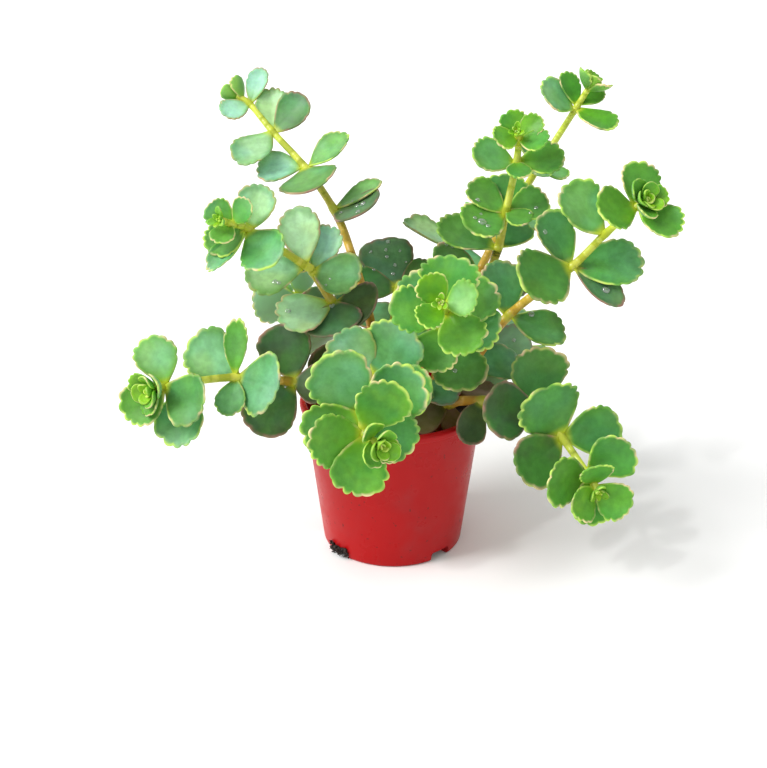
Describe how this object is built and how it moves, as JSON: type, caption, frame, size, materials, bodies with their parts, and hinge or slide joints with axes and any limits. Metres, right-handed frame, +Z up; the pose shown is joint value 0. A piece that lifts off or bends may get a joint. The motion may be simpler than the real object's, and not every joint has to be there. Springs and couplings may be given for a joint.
{
  "type": "potted october daphne",
  "caption": "Succulent with arching stems of round scalloped blue-green leaves in whorls and lime-green tip rosettes, growing in soil in a small tapered red nursery pot.",
  "frame": {"origin": "centre of the pot's flat underside, on the surface it stands on", "axes": "+Z up from the underside to the plant, -Y towards the plant's best side, +X to the right of that view"},
  "size_m": [0.1538, 0.1227, 0.1384],
  "materials": {
    "pot_red": "satin",
    "soil_brown": "matte",
    "leaf_green": "satin"
  },
  "bodies": {
    "root": {"pot": "pot_red", "soil": "soil_brown", "stem_front": "leaf_green", "stem_centre": "leaf_green", "stem_low_right": "leaf_green", "stem_low_left": "leaf_green", "stem_left": "leaf_green", "stem_right": "leaf_green", "stem_right_inner": "leaf_green", "stem_tall_right": "leaf_green", "stem_back_left": "leaf_green", "stem_back_centre": "leaf_green", "stem_back": "leaf_green", "stem_low_back": "leaf_green", "stem_low_back_right": "leaf_green", "stem_low_back_left": "leaf_green"}
  },
  "joints": []
}
